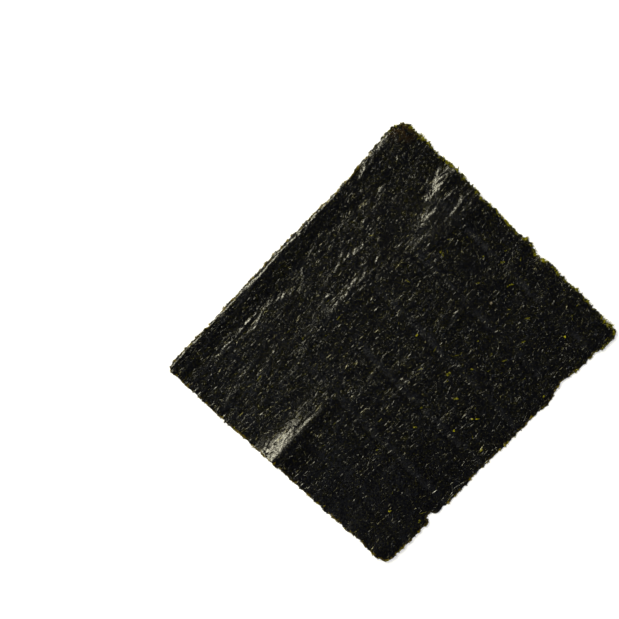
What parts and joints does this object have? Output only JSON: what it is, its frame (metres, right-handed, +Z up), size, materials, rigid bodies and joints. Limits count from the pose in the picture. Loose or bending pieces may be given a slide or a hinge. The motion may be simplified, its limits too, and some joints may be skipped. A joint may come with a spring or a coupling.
{
  "type": "nori sheet",
  "caption": "Full sheet of dried pressed seaweed, thin and crinkled, with a ragged deckled edge, pressed cross lines and corners that curl up.",
  "frame": {"origin": "on the table, under the middle of the sheet's bounding box", "axes": "+X along the short sides, +Y along the long sides towards the far edge, +Z up"},
  "size_m": [0.1934, 0.2174, 0.0035],
  "materials": {
    "nori": "satin"
  },
  "bodies": {
    "root": {"nori_sheet": "nori"}
  },
  "joints": []
}
